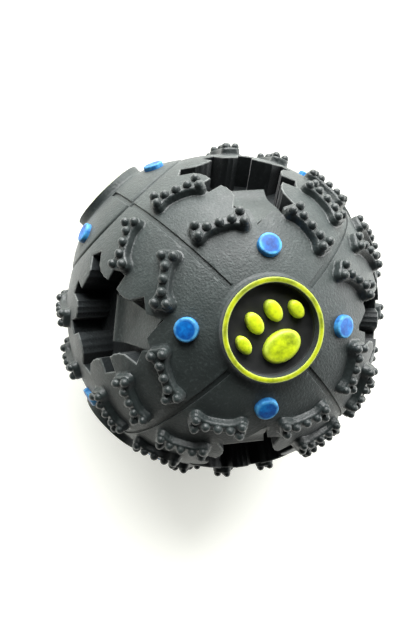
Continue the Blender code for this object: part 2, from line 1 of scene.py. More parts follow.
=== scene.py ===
"""Squeaky dog ball: the rubber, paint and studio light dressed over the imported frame."""

import json
import math

import bmesh
import bpy
from mathutils import Matrix, Vector


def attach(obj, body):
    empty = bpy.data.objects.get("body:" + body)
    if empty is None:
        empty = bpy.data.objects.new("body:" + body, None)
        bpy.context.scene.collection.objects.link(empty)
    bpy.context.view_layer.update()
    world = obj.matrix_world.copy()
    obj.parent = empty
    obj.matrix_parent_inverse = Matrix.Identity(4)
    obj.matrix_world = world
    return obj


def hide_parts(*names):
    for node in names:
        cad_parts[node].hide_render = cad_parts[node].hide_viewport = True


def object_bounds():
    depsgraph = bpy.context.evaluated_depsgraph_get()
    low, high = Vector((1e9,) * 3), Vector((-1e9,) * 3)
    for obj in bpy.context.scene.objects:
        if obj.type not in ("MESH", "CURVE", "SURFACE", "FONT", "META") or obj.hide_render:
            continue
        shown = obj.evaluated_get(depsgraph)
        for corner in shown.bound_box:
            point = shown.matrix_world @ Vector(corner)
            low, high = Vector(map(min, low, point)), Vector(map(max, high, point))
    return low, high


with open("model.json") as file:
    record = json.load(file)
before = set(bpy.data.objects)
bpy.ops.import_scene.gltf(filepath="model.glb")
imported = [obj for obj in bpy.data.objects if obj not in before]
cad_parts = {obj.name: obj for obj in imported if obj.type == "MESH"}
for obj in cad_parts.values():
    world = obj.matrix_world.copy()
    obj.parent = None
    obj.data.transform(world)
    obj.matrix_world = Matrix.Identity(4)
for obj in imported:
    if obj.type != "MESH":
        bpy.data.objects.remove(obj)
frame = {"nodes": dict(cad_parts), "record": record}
cad_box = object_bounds()

MM = 0.001
BODY = "ball"

X_AXIS = Vector((1, 0, 0))
Y_AXIS = Vector((0, 1, 0))
Z_AXIS = Vector((0, 0, 1))

# Ball, as in the frame
BALL = 46.5 * MM
CAVITY = 31.0 * MM
BALL_SUBDIVISIONS = 6
CAVITY_SUBDIVISIONS = 4

# How meshes are made
MERGE = 0.0005 * MM
SHARP_ANGLE = math.radians(38)
SHADING_WEIGHT = 80
SMALLEST_TURN = 0.01
CUT_PAST = 4.0 * MM
# An eased edge's middle point lies this share of the edge's size from the corner
EASED_SHARE = 0.3

# The rubber's material slots, and the attribute that is 1 along the edge of a paint, where it is
# paler
PLAIN = 0
# Lighter rubber along rims and edges: partly wear, partly a painted highlight
WORN_AND_HIGHLIGHT = 1
# Darker rubber on pocket and groove walls: a painted shade in the recesses
PAINTED_SHADE = 2
TREAD = 3
EDGE = "edge"

# Medallions
LIP_RADIUS = 11.4 * MM
LIP_TOP = 47.45 * MM
LIP_EDGE = 0.16 * MM
LIP_ROOT = 36.0 * MM
LIP_FOOT = 0.75 * MM
# A lip's foot flows into the ball through these shares of its size, outwards and up
LIP_FOOT_SHARES = ((0.0, 1.0), (0.12, 0.42), (0.42, 0.06))
LIP_FOOT_PROUD = 0.01 * MM
LIP_FOOT_SINK = 1.0 * MM
RECESS_RADIUS = 10.0 * MM
RECESS_FLOOR = 42.7 * MM
MEDALLION_SEGMENTS = 96

# Lime rings
RING_TOP = 47.5 * MM
RING_INSET = 0.18 * MM
RING_GAP = 0.05 * MM
RING_SINK = 0.02 * MM
RING_ROUND = 0.14 * MM
RING_ROUND_STEPS = 4
RING_CROWN = 0.05 * MM

# Black discs
DISC_TOP = 45.0 * MM
DISC_BOTTOM = 43.0 * MM
DISC_GAP = 0.02 * MM
# The corner curves up to the lip, as distances in from the lip's wall and up
DISC_CORNER = ((0.6 * MM, 0.0), (0.2 * MM, 0.08 * MM), (0.0, 0.35 * MM))

# Paw, with each pad's place, width and length
PAW_TWIST = math.radians(12)
MAIN_PAD = (0.0, -4.4 * MM, 9.0 * MM, 6.6 * MM)
INNER_TOE = (2.45 * MM, 3.2 * MM, 3.4 * MM, 5.2 * MM)
OUTER_TOE = (6.9 * MM, 0.6 * MM, 2.9 * MM, 4.4 * MM)
PAD_SEGMENTS = 40
# Each level's height, share of the pad's outline and nearness to a painted edge
PAD_LEVELS = (
    (-0.6 * MM, 1.0, 1.0),
    (0.9 * MM, 1.0, 1.0),
    (1.3 * MM, 0.965, 1.0),
    (1.55 * MM, 0.9, 0.8),
    (1.7 * MM, 0.8, 0.3),
    (1.8 * MM, 0.62, 0.0),
    (1.84 * MM, 0.35, 0.0),
    (1.86 * MM, 0.1, 0.0),
)

# Blue buttons
BUTTON_RADIUS = 2.65 * MM
BUTTON_HEIGHT = 1.25 * MM
BUTTON_TILT = math.radians(22.5)
BUTTONS = 4
BUTTON_SEGMENTS = 40
BUTTON_EDGE = 0.4 * MM
BUTTON_EDGE_STEPS = 4
BUTTON_ROOT = 1.0 * MM
BUTTON_DRAFT = 0.05 * MM
# Shares of the radius, and how far the crown has risen there
BUTTON_CROWN = ((0.7, 0.03 * MM), (0.0, 0.05 * MM))

# Bones
BONE_OFFSET = 8.2 * MM
BONE_ROWS = 3
BONE_ROW_STEP = math.radians(15.5)
BONE_SLANT = math.radians(36)
BONE_TURN = math.radians(5)
BONE_SLANT_SIDE = math.radians(16)
BONE_UNIT = 0.95 * MM
# A quarter of the outline, in bone units
BONE_QUARTER = (
    (6.78, 0.0), (6.92, 0.8), (6.88, 1.5), (6.62, 2.15), (6.1, 2.62), (5.4, 2.8),
    (4.7, 2.62), (4.05, 2.2), (3.3, 1.72), (2.2, 1.45), (0.0, 1.36),
)
BONE_TOP = 1.8 * MM
# Each level's height above the ball, and how far its outline has grown
BONE_LEVELS = (
    (-1.2 * MM, 0.55 * MM),
    (0.02 * MM, 0.5 * MM),
    (0.14 * MM, 0.2 * MM),
    (0.42 * MM, 0.04 * MM),
    (1.1 * MM, -0.04 * MM),
    (1.42 * MM, -0.12 * MM),
    (1.64 * MM, -0.27 * MM),
    (1.76 * MM, -0.45 * MM),
    (BONE_TOP, -0.6 * MM),
)

# Bones beside the end cap lean towards it by this angle
CAP_LEAN = math.radians(2.2)

# Studs on the bones: three along the shaft and two on each head
STUD_RADIUS = 1.1 * MM
STUD_LIFT = 0.1 * MM
STUD_SEGMENTS = 12
STUD_RINGS = 8
STUD_SHAFT_STEP = 2.7 * MM
STUD_HEAD_AT = 5.0 * MM
STUD_HEAD_SIDE = 1.36 * MM

# Toothed pockets
POCKET_FLOOR = 35.5 * MM
POCKET_TEETH = 8
POCKET_ROOT = 14.4 * MM
POCKET_TIP = 10.8 * MM
POCKET_LOBES = 3
POCKET_LOBE = 1.6 * MM
POCKET_NOTCH = 3.7 * MM
POCKET_TOWARD_POLE = 1.03
POCKET_TOWARD_CAP = 0.94
POCKET_TWIST = math.radians(7.5)
TOOTH_FLUTES = 3
TOOTH_BULGE = 0.5 * MM
FLUTE_DEPTH = 0.17 * MM
FLUTE_STEPS = 5
RIM_ROUND = 0.34 * MM
RIM_STEPS = 3

# The long tongue in place of one tooth, with a step at its root
TONGUE_END = -0.4 * MM
TONGUE_END_HALF = 5.9 * MM
TONGUE_ROOT = 14.6 * MM
TONGUE_ROOT_HALF = 4.1 * MM
TONGUE_MARGIN = 0.06 * MM
TONGUE_SECTIONS = 8
# The ramp behind the end, over the bead and through the hollow, as places along and heights
TONGUE_RAMP = (
    (-3.0 * MM, 38.6 * MM), (-0.5 * MM, 38.6 * MM), (-0.36 * MM, 40.1 * MM),
    (-0.1 * MM, 40.75 * MM), (0.35 * MM, 41.15 * MM), (0.9 * MM, 41.2 * MM),
    (1.5 * MM, 41.0 * MM), (2.4 * MM, 40.68 * MM), (3.4 * MM, 40.5 * MM),
    (4.6 * MM, 40.5 * MM), (6.0 * MM, 40.72 * MM), (9.0 * MM, 41.4 * MM),
    (12.0 * MM, 42.05 * MM),
)
STEP_AT = 15.2 * MM
STEP_RISE = 0.62
STEP_POINT = 1.2 * MM
STEP_HEIGHT = 42.75 * MM
STEP_EDGE = 0.36 * MM
STEP_PROUD = 0.03 * MM

# Grooves
GROOVE_WIDTH = 1.25 * MM
GROOVE_DEPTH = 0.44 * MM
GROOVE_EDGE = 0.12 * MM
GROOVE_PROUD = 0.02 * MM
GROOVE_PAST = 1.0 * MM
GROOVE_START = 12.7 * MM
GROOVE_STEPS = 48
GROOVE_OVERRUN = math.radians(4)

# End cap, whose medallion stands out further than the others by the rise
CAP_RADIUS = 22.4 * MM
CAP_RISE = 1.5 * MM
CAP_PROUD = 0.12 * MM
CAP_RIM_BOTTOM = 37.35 * MM
CAP_SKIRT_RADIUS = 17.2 * MM
CAP_SKIRT_END = 27.35 * MM
CAP_SHOULDER = 30.75 * MM
CAP_SHOULDER_RADIUS = 11.8 * MM
CAP_PLATE_BOTTOM = 40.2 * MM
CAP_SEGMENTS = 128
CAP_ARC_STEPS = 16
CAP_EDGE = 0.3 * MM
CAP_EDGE_DROP = 0.1

# The cap's seat in the shell, a little off centre, and the socket for the sound unit
SEAM_GAP = 0.32 * MM
SEAM_SHIFT = 0.26 * MM
SEAT_EDGE = 0.22 * MM
SEAT_EDGE_DEPTH = 0.3 * MM
SEAT_EDGE_MIDDLE = (0.07 * MM, 0.06 * MM)
SEAT_PROUD = 0.005 * MM
SOCKET_RADIUS = 13.3 * MM
SOCKET_BOSS_RADIUS = 15.9 * MM
SOCKET_FLOOR = -33.85 * MM
SOCKET_RIM = -28.55 * MM

# Each medallion's outward direction, and the way its paw points before the twist.
# Bones between two medallions open towards the one that comes first here.
MEDALLIONS = {
    "right": (X_AXIS, Z_AXIS),
    "top": (Z_AXIS, Y_AXIS),
    "bottom": (-Z_AXIS, Y_AXIS),
    "left": (-X_AXIS, Z_AXIS),
    "back": (Y_AXIS, Z_AXIS),
    "front": (-Y_AXIS, Z_AXIS),
}
CAP_MEDALLION = "back"
CAP_AXIS = Y_AXIS

# Rubber colours, from its dark clouds to its light ones, and its roughness where smoothest
RUBBER = ((0.019, 0.0255, 0.0245), (0.029, 0.039, 0.037), (0.042, 0.053, 0.050))
# Lighter rubber along rims and step edges: partly wear, partly a painted highlight
WORN_AND_HIGHLIGHT_RUBBER = ((0.07, 0.079, 0.076), (0.105, 0.116, 0.111), (0.14, 0.153, 0.146))
# Darker rubber for pocket and groove walls: a painted shade in the recesses
PAINTED_SHADE_RUBBER = ((0.009, 0.012, 0.013), (0.015, 0.019, 0.020), (0.023, 0.028, 0.028))
TREAD_RUBBER = ((0.0125, 0.0175, 0.0175), (0.019, 0.0265, 0.026), (0.029, 0.039, 0.037))
RUBBERS = {
    "charcoal_rubber_grain": (RUBBER, 0.5),
    "charcoal_rubber_wear_and_highlight": (WORN_AND_HIGHLIGHT_RUBBER, 0.42),
    "charcoal_rubber_painted_shade": (PAINTED_SHADE_RUBBER, 0.44),
    "charcoal_rubber_tread": (TREAD_RUBBER, 0.36),
}
RUBBER_PLACES = (0.3, 0.52, 0.75)
RUBBER_CLOUD = 16 * MM
RUBBER_GRAIN = 0.55 * MM
RUBBER_GRAIN_DEPTH = 0.13 * MM
RUBBER_POLISH = 4 * MM
RUBBER_POLISH_SPREAD = 0.12
RUBBER_SHEEN = 0.16
RUBBER_SHEEN_ROUGHNESS = 0.4
DUST = 1.6
DUST_SPECK = 0.8 * MM
DUST_SHARE = 0.6
DUST_PLACES = (0.55, 0.74)

# Paint colours, from thin to full, and along the edges, where the paler colour is partly wear and
# partly a painted highlight
LIME = ((0.19, 0.26, 0.002), (0.40, 0.51, 0.002), (0.60, 0.72, 0.002))
LIME_WEAR_AND_HIGHLIGHT = (0.60, 0.74, 0.08)
RING_LIME = ((0.13, 0.17, 0.004), (0.27, 0.33, 0.003), (0.46, 0.53, 0.002))
RING_WEAR_AND_HIGHLIGHT = (0.55, 0.64, 0.14)
BLUE = ((0.001, 0.04, 0.2), (0.002, 0.1, 0.4), (0.004, 0.2, 0.58))
BLUE_WEAR_AND_HIGHLIGHT = (0.11, 0.43, 0.70)
PAINT_POLISH = 2 * MM
LIME_PAINT = {
    "places": (0.34, 0.46, 0.58),
    "cloud": 4.2 * MM,
    "cloud_roughness": 0.65,
    "wear_and_highlight_patches": 1.5 * MM,
    "wear_and_highlight_patch_shares": (0.35, 0.95),
    "grain": 1.2 * MM,
    "depth": 0.06 * MM,
    "polish": (0.4, 0.56),
    "specular": 0.5,
}
BLUE_PAINT = {
    "places": (0.34, 0.5, 0.66),
    "cloud": 2.4 * MM,
    "cloud_roughness": 0.6,
    "wear_and_highlight_patches": 1.2 * MM,
    "wear_and_highlight_patch_shares": (0.2, 0.8),
    "grain": 0.9 * MM,
    "depth": 0.05 * MM,
    "polish": (0.4, 0.52),
    "specular": 0.3,
}

# Finish of the black discs
BLACK = ((0.008, 0.009, 0.009), (0.02, 0.021, 0.021))
BLACK_PLACES = (0.3, 0.7)
BLACK_CLOUD = 5 * MM
BLACK_GRAIN = 0.9 * MM
BLACK_GRAIN_DEPTH = 0.025 * MM
BLACK_POLISH = 2.5 * MM
BLACK_ROUGHNESS = (0.42, 0.58)

# Pieces inside: finish, dark and light colour, roughness, grain, its depth, metal or not
INSIDE_PLACES = (0.35, 0.65)
INSIDE = {
    "white_plastic": (
        "white_moulding", (0.68, 0.68, 0.65), (0.78, 0.78, 0.75), 0.4, 2 * MM, 0.02 * MM, 0.0
    ),
    "grey_felt": (
        "grey_felt_pile", (0.25, 0.25, 0.26), (0.42, 0.42, 0.43), 0.95, 0.4 * MM, 0.1 * MM, 0.0
    ),
    "plated_steel": (
        "plated_steel_turned", (0.5, 0.5, 0.51), (0.6, 0.6, 0.61), 0.28, 1 * MM, 0.01 * MM, 1.0
    ),
    "amber_film": (
        "amber_film_strip", (0.58, 0.36, 0.1), (0.7, 0.46, 0.14), 0.3, 3 * MM, 0.01 * MM, 0.0
    ),
}

# Camera
CAMERA_LENS = 24.86
CAMERA_SENSOR = 36.0
CAMERA_CLIP = 5 * MM
CAMERA_SPOT = BALL * Vector((-0.3053, 0.6521, 2.8584))
CAMERA_RIGHT = Vector((0.6961, -0.6887, 0.2026))
CAMERA_UP = Vector((0.7136, 0.6948, -0.0903))
CAMERA_BACK = Vector((-0.0786, 0.2074, 0.9751))

# Light: white screens all round, up to a height, and two lamps with spot, size and power
WHITE = (1.0, 1.0, 1.0)
WORLD_LEVEL = 0.03
SCREEN_LEVEL = 1.1
SCREEN_TOP = 0.5
SCREEN_LEAN = 0.85
LAMPS = {
    "window": ((0.55, 0.53, 0.38), 0.9, 26.0),
    "side": ((0.58, -0.42, 0.22), 0.5, 4.0),
}

# Floor, which glows more further away
FLOOR_HALF = 4.0
FLOOR_COLOUR = (0.8, 0.81, 0.76)
GLOW_COLOUR = (1.0, 1.0, 0.93)
FLOOR_GLOW = 0.34
SHADOW_REACH = 80 * MM
WHITE_FROM = 190 * MM


def frame_towards(outward, forward):
    """A matrix whose local Z looks outward and whose local Y lies along forward."""
    z = outward.normalized()
    y = (forward - forward.project(z)).normalized()
    return Matrix((y.cross(z), y, z)).transposed().to_4x4()


def medallion_frame(name):
    return frame_towards(*MEDALLIONS[name])


def height_at(radius, ball=BALL):
    """How far out a ball's surface lies, at this distance from a feature's own axis."""
    return math.sqrt(ball**2 - radius**2)


def raised(height):
    return Matrix.Translation((0, 0, height))


def medallion_seat(name):
    """A medallion's frame, moved out with the end cap where the cap carries it."""
    rise = CAP_RISE if name == CAP_MEDALLION else 0
    return medallion_frame(name) @ raised(rise)


# The cap's dome is an arc from the foot of its raised lip to the ball's surface at its rim
CAP_LIP_FOOT = height_at(LIP_RADIUS) + CAP_RISE
CAP_RIM_TOP = height_at(CAP_RADIUS)
CAP_DOME_DROP = CAP_LIP_FOOT - CAP_RIM_TOP
CAP_DOME_MIDDLE = (CAP_LIP_FOOT**2 + LIP_RADIUS**2 - BALL**2) / (2 * CAP_DOME_DROP)
CAP_DOME = math.hypot(CAP_RADIUS, CAP_RIM_TOP - CAP_DOME_MIDDLE)


# Mesh helpers


def make_object(name, bm, *materials):
    """Turn a bmesh into an object with merged doubles and outward faces."""
    bmesh.ops.remove_doubles(bm, verts=bm.verts, dist=MERGE)
    bmesh.ops.recalc_face_normals(bm, faces=bm.faces)
    mesh = bpy.data.meshes.new(name)
    bm.to_mesh(mesh)
    bm.free()
    for material in materials:
        mesh.materials.append(material)
    made = bpy.data.objects.new(name, mesh)
    bpy.context.scene.collection.objects.link(made)
    return made


def carve(target, cutter, operation):
    """Join or cut away a helper body for good, and remove it."""
    boolean = target.modifiers.new("carve", "BOOLEAN")
    boolean.solver = "MANIFOLD"
    boolean.material_mode = "INDEX"
    boolean.operation = operation
    boolean.object = cutter
    graph = bpy.context.evaluated_depsgraph_get()
    shaped = bpy.data.meshes.new_from_object(target.evaluated_get(graph))
    target.modifiers.clear()
    spent = [target.data, cutter.data]
    target.data = shaped
    bpy.data.objects.remove(cutter)
    for mesh in spent:
        bpy.data.meshes.remove(mesh)


def smooth_faces(made):
    """Smooth shading with crisp edges where faces meet at an angle."""
    made.data.shade_smooth()
    made.data.set_sharp_from_angle(angle=SHARP_ANGLE)
    weighted = made.modifiers.new("even_shading", "WEIGHTED_NORMAL")
    weighted.keep_sharp = True
    weighted.weight = SHADING_WEIGHT


def edge_layer(bm):
    """How near each point is to a painted edge, from 0 to 1."""
    return bm.verts.layers.float.get(EDGE) or bm.verts.layers.float.new(EDGE)


def lathe(bm, profile, segments, place=Matrix()):
    """Spin a profile round local Z. Its points are (radius, height), or have an edge value too."""
    layer = edge_layer(bm)
    verts = []
    for radius, height, *edge in profile:
        vert = bm.verts.new(place @ Vector((radius, 0, height)))
        vert[layer] = edge[0] if edge else 0
        verts.append(vert)
    edges = [bm.edges.new(pair) for pair in zip(verts, verts[1:])]
    bmesh.ops.spin(
        bm,
        geom=verts + edges,
        axis=place.to_3x3() @ Z_AXIS,
        cent=place.translation,
        angle=2 * math.pi,
        steps=segments,
        use_merge=True,
    )


def stack(bm, loops, wear_and_highlight=(), edges=None):
    """Extrude one outline through a stack of loops into a closed body, and return its last face.

    The sides below a worn loop get the lighter rubber, partly wear and partly a painted highlight.
    Edges has an edge value for each loop.
    """
    layer = edge_layer(bm)
    face = bm.faces.new([bm.verts.new(point) for point in loops[0]])
    for level, points in enumerate(loops[1:], start=1):
        made = bmesh.ops.extrude_face_region(bm, geom=[face])
        if level > 1:
            bmesh.ops.delete(bm, geom=[face], context="FACES_ONLY")
        face = next(item for item in made["geom"] if isinstance(item, bmesh.types.BMFace))
        for vert, point in zip(face.verts, points):
            vert.co = point
            vert[layer] = edges[level] if edges else 0
        for edge in face.edges:
            for side in edge.link_faces:
                side.material_index = WORN_AND_HIGHLIGHT if side != face and level in wear_and_highlight else PLAIN
    return face


def grow(outline, amount):
    """Move a closed outline, drawn anticlockwise, outwards by an amount."""
    grown = []
    for i, point in enumerate(outline):
        before = (point - outline[i - 1]).normalized()
        after = (outline[(i + 1) % len(outline)] - point).normalized()
        normal = Vector((before.y + after.y, -before.x - after.x))
        mitre = min(2 / max(normal.length_squared, SMALLEST_TURN), 1.0)
        grown.append(point + normal * (amount * mitre))
    return grown


def quarter_round(size, steps):
    """Depth and reach pairs that round an edge of this size over, from its foot to its top."""
    angles = [math.pi / 2 * i / steps for i in range(steps + 1)]
    return [(size * (1 - math.sin(a)), size * (1 - math.cos(a))) for a in angles]


def block_profile(radius, top, bottom):
    return [(0, top), (radius, top), (radius, bottom), (0, bottom)]


def lathe_body(name, profile, segments, place):
    bm = bmesh.new()
    lathe(bm, profile, segments, place)
    return make_object(name, bm)


def gathered(name, add, places):
    """One helper body made of a shape repeated at several places."""
    bm = bmesh.new()
    mesh = bpy.data.meshes.new(name)
    for place in places:
        one = bmesh.new()
        add(one, place)
        one.to_mesh(mesh)
        one.free()
        bm.from_mesh(mesh)
    bpy.data.meshes.remove(mesh)
    return make_object(name, bm)


# Layout


def medallion_edges():
    """The pairs of neighbouring medallions, whose great circle carries a groove and its bones."""
    names = list(MEDALLIONS)
    for i, first in enumerate(names):
        for second in names[i + 1:]:
            if MEDALLIONS[first][0].dot(MEDALLIONS[second][0]) == 0:
                yield first, second


def pocket_frames():
    """One frame for each corner between three medallions, with local Y along the tongue.

    The tongues come in from the top and bottom medallions, twisted like mirror images.
    """
    for x in (-1, 1):
        for y in (-1, 1):
            for z in (-1, 1):
                narrow = POCKET_TOWARD_CAP if y > 0 else 1
                outward = Vector((x * narrow, y, z * POCKET_TOWARD_POLE))
                twist = Matrix.Rotation(x * y * z * POCKET_TWIST, 4, "Z")
                yield frame_towards(outward, Z_AXIS * z) @ twist


def bone_frames():
    """One frame for each bone: local Z outward, local X along the bone."""
    tilt = BONE_OFFSET / BALL
    for first, second in medallion_edges():
        start = MEDALLIONS[first][0]
        end = MEDALLIONS[second][0]
        side = start.cross(end)
        beside = first == "right" and end.z == 0
        slant, turn = (BONE_SLANT_SIDE, 0) if beside else (BONE_SLANT, BONE_TURN)
        for row in range(BONE_ROWS):
            angle = math.pi / 4 + (row - (BONE_ROWS - 1) / 2) * BONE_ROW_STEP
            on_groove = start * math.cos(angle) + end * math.sin(angle)
            if on_groove.angle(CAP_AXIS) < math.pi / 4 - BONE_ROW_STEP / 2:
                continue
            if second == CAP_MEDALLION and row == BONE_ROWS // 2:
                angle += CAP_LEAN
                on_groove = start * math.cos(angle) + end * math.sin(angle)
            for sign in (-1, 1):
                outward = on_groove * math.cos(tilt) + side * (sign * math.sin(tilt))
                lean = Matrix.Rotation(sign * slant + turn, 4, "Z")
                yield frame_towards(outward, start.cross(side)) @ lean


# Bones


def bone_outline():
    """A bone seen from above, drawn anticlockwise from the middle of its right side."""
    upper = [*BONE_QUARTER, *[(-x, y) for x, y in reversed(BONE_QUARTER[:-1])]]
    lower = [(-x, -y) for x, y in upper[1:-1]]
    return [Vector((x, y)) * BONE_UNIT for x, y in upper + lower]


def on_ball(place, point, radius):
    """A point of a feature's plan, set on a ball of this radius along the feature's rays."""
    ray = Vector((point.x, point.y, BALL)).normalized()
    return place.to_3x3() @ (ray * radius)


def add_bone(bm, place):
    """A bone block with a flowing foot and a rounded top edge."""
    outline = bone_outline()
    loops = [
        [on_ball(place, point, BALL + up) for point in grow(outline, out)]
        for up, out in BONE_LEVELS
    ]
    top = stack(bm, loops)
    for face in bm.faces:
        face.material_index = TREAD
    bmesh.ops.triangulate(bm, faces=[top])


def stud_spots():
    """Where the studs stand on a bone."""
    spots = [Vector((step * STUD_SHAFT_STEP, 0)) for step in (-1, 0, 1)]
    for end in (-1, 1):
        for side in (-1, 1):
            spots.append(Vector((end * STUD_HEAD_AT, side * STUD_HEAD_SIDE)))
    return spots


def add_studs(bm, place):
    for spot in stud_spots():
        middle = on_ball(place, spot, BALL + BONE_TOP + STUD_LIFT)
        turn = frame_towards(middle, place.to_3x3() @ X_AXIS)
        bmesh.ops.create_uvsphere(
            bm,
            u_segments=STUD_SEGMENTS,
            v_segments=STUD_RINGS,
            radius=STUD_RADIUS,
            matrix=Matrix.Translation(middle) @ turn,
        )
    for face in bm.faces:
        face.material_index = TREAD


# Pockets


def notch_corners(number):
    """A notch's corners in plan: inner and outer on its near side, then outer and inner beyond."""
    angle = (number + 0.5) * 2 * math.pi / POCKET_TEETH
    lobe = POCKET_LOBE * math.cos(POCKET_LOBES * angle)
    along = Vector((-math.sin(angle), math.cos(angle)))
    across = Vector((-math.cos(angle), -math.sin(angle))) * (POCKET_NOTCH / 2)
    inner = along * (POCKET_TIP + lobe)
    outer = along * (POCKET_ROOT + lobe)
    return [inner - across, outer - across, outer + across, inner + across]


def fluted(start, end):
    """The points between two corners of a tooth's tip, which is scooped into flutes."""
    inward = Vector((start.y - end.y, end.x - start.x)).normalized()
    steps = TOOTH_FLUTES * FLUTE_STEPS
    points = []
    for i in range(1, steps):
        share = i / steps
        bulge = TOOTH_BULGE * (4 * share * (1 - share))
        scoop = FLUTE_DEPTH * abs(math.sin(math.pi * TOOTH_FLUTES * share))
        points.append(start.lerp(end, share) + inward * (bulge - scoop))
    return points


def pocket_outline():
    """The gear-shaped mouth, drawn anticlockwise. Its first tooth is the tongue."""
    points = [Vector((TONGUE_END_HALF, TONGUE_END)), Vector((-TONGUE_END_HALF, TONGUE_END))]
    last = POCKET_TEETH - 1
    for number in range(POCKET_TEETH):
        corners = notch_corners(number)
        if number == 0:
            corners = corners[1:]
        if number == last:
            corners = corners[:-1]
        points += corners
        if number < last:
            points += fluted(corners[-1], notch_corners(number + 1)[0])
    return points


def add_pocket_cutter(bm, place):
    """The space inside a pocket, flared where it meets the ball so the rim is rounded.

    Its walls get the darker rubber as a painted shade in the recess, and its rounded rim the
    lighter rubber, partly wear and partly a painted highlight.
    """
    outline = pocket_outline()
    loops = [[place @ Vector((p.x, p.y, POCKET_FLOOR)) for p in outline]]
    for depth, reach in quarter_round(RIM_ROUND, RIM_STEPS):
        wide = grow(outline, reach)
        loops.append(
            [place @ Vector((p.x, p.y, height_at(p.length, BALL - depth))) for p in wide]
        )
    loops.append([place @ Vector((p.x, p.y, BALL + CUT_PAST)) for p in wide])
    top = stack(bm, loops, wear_and_highlight=range(2, RIM_STEPS + 2))
    # The walls take the darker rubber: a painted shade in the recess
    for face in bm.faces:
        if face.material_index == PLAIN:
            face.material_index = PAINTED_SHADE
    bmesh.ops.triangulate(bm, faces=[top])


def tongue_half(y):
    """Half the tongue's width, which narrows from its end to its root."""
    share = (y - TONGUE_END) / (TONGUE_ROOT - TONGUE_END)
    return TONGUE_END_HALF + share * (TONGUE_ROOT_HALF - TONGUE_END_HALF) + TONGUE_MARGIN


def add_tongue_cutter(bm, place):
    """The space above a tongue: a ramp down to a hollow, a bead along the end, and a step.

    The step comes to a point that lies a little to one side.
    """
    above = BALL + CUT_PAST
    behind = TONGUE_RAMP[0][0]
    side_of_point = place.to_3x3() @ X_AXIS
    hand = -1 if side_of_point.dot(Y_AXIS) * place.col[2].y > 0 else 1
    loops = []
    for number in range(TONGUE_SECTIONS + 1):
        share = 2 * number / TONGUE_SECTIONS - 1
        at_step = share * TONGUE_ROOT_HALF
        step = STEP_AT + STEP_RISE * abs(at_step - hand * STEP_POINT)
        eased = step + STEP_EDGE
        surface = height_at(math.hypot(at_step, eased))
        section = [
            *TONGUE_RAMP,
            (step, STEP_HEIGHT),
            (step, surface - STEP_EDGE),
            (eased, surface + STEP_PROUD),
            (eased, above),
            (behind, above),
        ]
        loops.append([place @ Vector((share * tongue_half(y), y, z)) for y, z in section])
    stack(bm, loops)
    # Faces at the step's edge get the lighter rubber: partly wear, partly a painted highlight
    for face in bm.faces:
        if len(face.verts) == 4:
            middle = sum((vert.co for vert in face.verts), Vector()) / 4
            face.material_index = WORN_AND_HIGHLIGHT if middle.length > BALL - STEP_EDGE else PLAIN


# Grooves


def groove_section():
    """A groove's section as (up, sideways) points, flared where it meets the surface."""
    half = GROOVE_WIDTH / 2
    right = [
        (-GROOVE_DEPTH, half),
        (-GROOVE_EDGE, half),
        (-EASED_SHARE * GROOVE_EDGE, half + EASED_SHARE * GROOVE_EDGE),
        (GROOVE_PROUD, half + GROOVE_EDGE),
        (GROOVE_PAST, half + GROOVE_EDGE),
    ]
    return right + [(up, -side) for up, side in reversed(right)]


def add_groove_cutter(bm, start, end, middle, ball, stop):
    """A channel on a ball about a middle, from beside the start's ring towards the end.

    Its walls get the darker rubber as a painted shade along the channel, and its floor is like the
    ball.
    """
    axis = start.cross(end)
    begin = math.asin(GROOVE_START / ball)
    outward = start * math.cos(begin) + end * math.sin(begin)
    points = [middle + outward * (ball + up) + axis * side for up, side in groove_section()]
    section = bm.faces.new([bm.verts.new(point) for point in points])
    bmesh.ops.spin(
        bm, geom=[section], axis=axis, cent=middle, angle=stop - begin, steps=GROOVE_STEPS
    )
    deep = ball - GROOVE_DEPTH / 2
    # The walls take the darker rubber: a painted shade along the channel
    for face in bm.faces:
        heights = [(vert.co - middle).length for vert in face.verts]
        if len(heights) == 4 and min(heights) < deep < max(heights) < ball:
            face.material_index = PAINTED_SHADE


def make_ball_grooves():
    """The channels along the great circles, each from ring to ring."""
    bm = bmesh.new()
    stop = math.pi / 2 - math.asin(GROOVE_START / BALL)
    for first, second in medallion_edges():
        add_groove_cutter(bm, MEDALLIONS[first][0], MEDALLIONS[second][0], Vector(), BALL, stop)
    return make_object("grooves", bm)


def make_cap_grooves():
    """The ends of four channels, which run on over the cap's dome."""
    bm = bmesh.new()
    stop = math.asin(CAP_RADIUS / CAP_DOME) + GROOVE_OVERRUN
    middle = CAP_AXIS * CAP_DOME_MIDDLE
    for side in (X_AXIS, -X_AXIS, Z_AXIS, -Z_AXIS):
        add_groove_cutter(bm, CAP_AXIS, side, middle, CAP_DOME + CAP_PROUD, stop)
    return make_object("cap_grooves", bm)


# Shell and end cap


def lip_wall():
    """A lip's outside, from its rounded top edge down to its flowing foot."""
    foot = height_at(LIP_RADIUS)
    eased = EASED_SHARE * LIP_EDGE
    return [
        (LIP_RADIUS - LIP_EDGE, LIP_TOP),
        (LIP_RADIUS - eased, LIP_TOP - eased),
        (LIP_RADIUS, LIP_TOP - LIP_EDGE),
        *[(LIP_RADIUS + out * LIP_FOOT, foot + up * LIP_FOOT) for out, up in LIP_FOOT_SHARES],
    ]


def lip_profile():
    """A lip, solid down into the ball."""
    foot = LIP_RADIUS + LIP_FOOT
    return [
        (0, LIP_TOP),
        *lip_wall(),
        (foot, height_at(foot) + LIP_FOOT_PROUD),
        (foot, height_at(foot) - LIP_FOOT_SINK),
        (LIP_RADIUS, LIP_ROOT),
        (0, LIP_ROOT),
    ]


